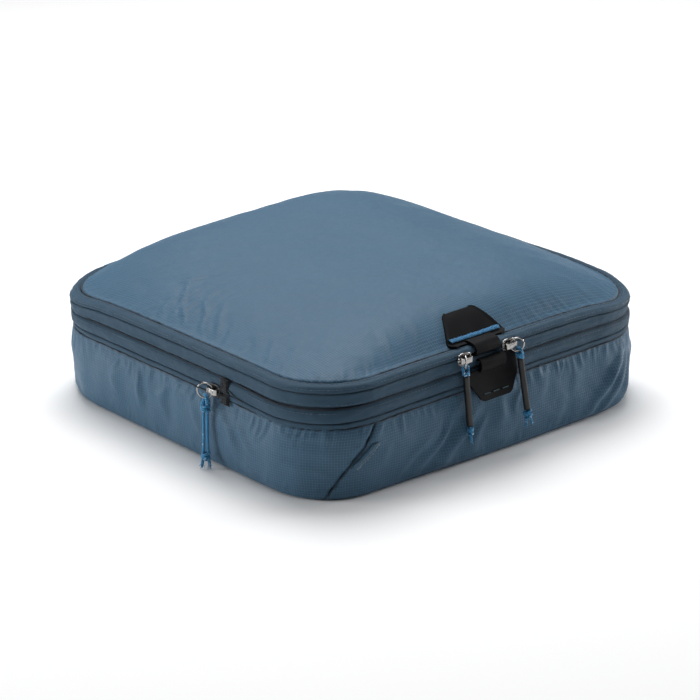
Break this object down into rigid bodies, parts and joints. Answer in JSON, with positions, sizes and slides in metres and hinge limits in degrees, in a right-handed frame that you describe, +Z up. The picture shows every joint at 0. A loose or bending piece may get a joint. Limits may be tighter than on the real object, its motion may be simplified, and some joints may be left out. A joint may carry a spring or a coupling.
{
  "type": "packing cube",
  "caption": "Soft rectangular packing cube with a domed zipped lid, a second zip that lets it expand, coated grab tabs and cord zip pulls.",
  "frame": {"origin": "centre of the flat base, on the surface that the cube stands on", "axes": "+Z up, front with the two grab tabs towards -Y, compression slider on the -X side, hinge at the back (+Y)"},
  "size_m": [0.3708, 0.3561, 0.1175],
  "materials": {
    "shell_fabric": "ripstop nylon, slate blue, slight sheen",
    "gusset_fabric": "ripstop nylon, slate blue",
    "label_fabric": "woven label, slate blue, no text",
    "zip_tape": "herringbone zip tape, slate blue",
    "zip_coil": "nylon coil, slate blue",
    "binding_tape": "ribbed binding tape, dark blue",
    "coated_fabric": "matte black coated fabric",
    "bright_thread": "bright blue bartack thread",
    "teal_thread": "dark teal thread",
    "black_webbing": "black woven end piece",
    "nickel": "polished nickel plate",
    "black_enamel": "black enamelled slider",
    "black_tube": "matte black tube",
    "cord": "bright blue braided cord with pale flecks"
  },
  "bodies": {
    "base": {"base_panel": "shell_fabric", "front_wall": "shell_fabric", "right_wall": "shell_fabric", "back_wall": "shell_fabric", "left_wall": "shell_fabric", "seam_label": "label_fabric", "compression_tape_lower": "zip_tape", "compression_coil_lower": "zip_coil", "base_binding": "binding_tape", "expansion_gusset": "gusset_fabric", "zip_garage_lower": "black_webbing"},
    "middle_band": {"compression_tape_upper": "zip_tape", "compression_coil_upper": "zip_coil", "access_tape_lower": "zip_tape", "access_coil_lower": "zip_coil", "hinge_strip_lower": "shell_fabric", "middle_binding": "binding_tape", "lower_tab": "coated_fabric", "lower_tab_stitches": "teal_thread", "zip_garage_upper": "black_webbing"},
    "lid": {"top_panel": "shell_fabric", "access_tape_upper": "zip_tape", "access_coil_upper": "zip_coil", "hinge_strip_upper": "shell_fabric", "lid_binding": "binding_tape", "upper_tab": "coated_fabric", "upper_tab_bartack": "bright_thread"},
    "slider_left": {"slider_left": "nickel"},
    "slider_right": {"slider_right": "nickel"},
    "compression_slider": {"compression_slider": "black_enamel"},
    "ring_left": {"pull_ring_left": "nickel"},
    "ring_right": {"pull_ring_right": "nickel"},
    "ring_compression": {"compression_ring": "nickel"},
    "pull_left": {"pull_cord_left": "cord", "pull_hitch_left": "cord", "pull_tube_left": "black_tube", "pull_knot_left": "cord"},
    "pull_right": {"pull_cord_right": "cord", "pull_hitch_right": "cord", "pull_tube_right": "black_tube", "pull_knot_right": "cord"},
    "pull_compression": {"compression_cord": "cord", "compression_hitch": "cord", "compression_knot": "cord"}
  },
  "joints": [
    {"name": "expand", "type": "slide", "parent": "base", "child": "middle_band", "axis": [0, 0, 1], "range_m": [0, 0.08], "deforming": ["expansion_gusset"]},
    {"name": "lid_hinge", "type": "hinge", "parent": "middle_band", "child": "lid", "pos_m": [0, 0.1682, 0.0839], "axis": [-1, 0, 0], "range_deg": [0, 170]},
    {"name": "slider_left_travel", "type": "slide", "parent": "middle_band", "child": "slider_left", "axis": [-1, 0, 0], "range_m": [0, 0.06]},
    {"name": "slider_right_travel", "type": "slide", "parent": "middle_band", "child": "slider_right", "axis": [1, 0, 0], "range_m": [0, 0.085]},
    {"name": "compression_slider_travel", "type": "slide", "parent": "base", "child": "compression_slider", "axis": [0, 1, 0], "range_m": [0, 0.13]},
    {"name": "ring_left_flip", "type": "hinge", "parent": "slider_left", "child": "ring_left", "pos_m": [-0.038, -0.1708, 0.0839], "axis": [0, 0, 1], "range_deg": [-8, 10]},
    {"name": "pull_left_swing", "type": "hinge", "parent": "ring_left", "child": "pull_left", "pos_m": [-0.04161, -0.17454, 0.0787], "axis": [-0.6947, -0.7193, 0], "range_deg": [0, 60]},
    {"name": "ring_right_flip", "type": "hinge", "parent": "slider_right", "child": "ring_right", "pos_m": [0.008, -0.1708, 0.0839], "axis": [0, 0, -1], "range_deg": [-3, 45]},
    {"name": "pull_right_swing", "type": "hinge", "parent": "ring_right", "child": "pull_right", "pos_m": [0.01372, -0.1748, 0.07901], "axis": [-0.8192, 0.5736, 0], "range_deg": [0, 30]},
    {"name": "ring_compression_flip", "type": "hinge", "parent": "compression_slider", "child": "ring_compression", "pos_m": [-0.1813, -0.053, 0.062], "axis": [0, 0, 1], "range_deg": [-12, 50]},
    {"name": "pull_compression_swing", "type": "hinge", "parent": "ring_compression", "child": "pull_compression", "pos_m": [-0.18509, -0.04848, 0.0561], "axis": [-0.6428, 0.766, 0], "range_deg": [0, 75]}
  ]
}
